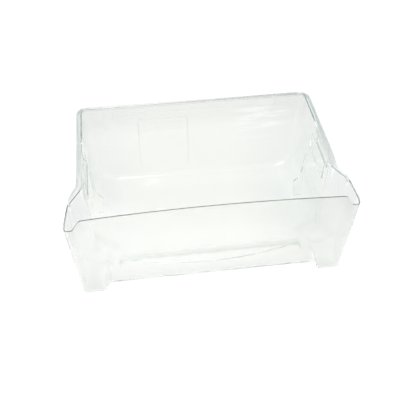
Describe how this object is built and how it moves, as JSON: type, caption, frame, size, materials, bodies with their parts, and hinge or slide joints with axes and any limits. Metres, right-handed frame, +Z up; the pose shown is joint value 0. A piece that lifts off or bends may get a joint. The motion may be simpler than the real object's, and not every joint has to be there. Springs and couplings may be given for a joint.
{
  "type": "fridge crisper drawer",
  "caption": "Clear moulded fridge drawer with an open top, an arched front panel, flared shoulders, hanging side flanges, front feet and a finger grip under the floor.",
  "frame": {"origin": "under the middle of the drawer, on the ground plane of its feet", "axes": "+X across the drawer to the right as seen from the front, +Y from the front panel to the back wall, +Z up"},
  "size_m": [0.451, 0.273, 0.1805],
  "materials": {
    "clear_plastic": "clear rigid polystyrene, polished on both faces, nearly colourless with a faint grey-green edge tint"
  },
  "bodies": {
    "root": {"drawer_body": "clear_plastic"}
  },
  "joints": []
}
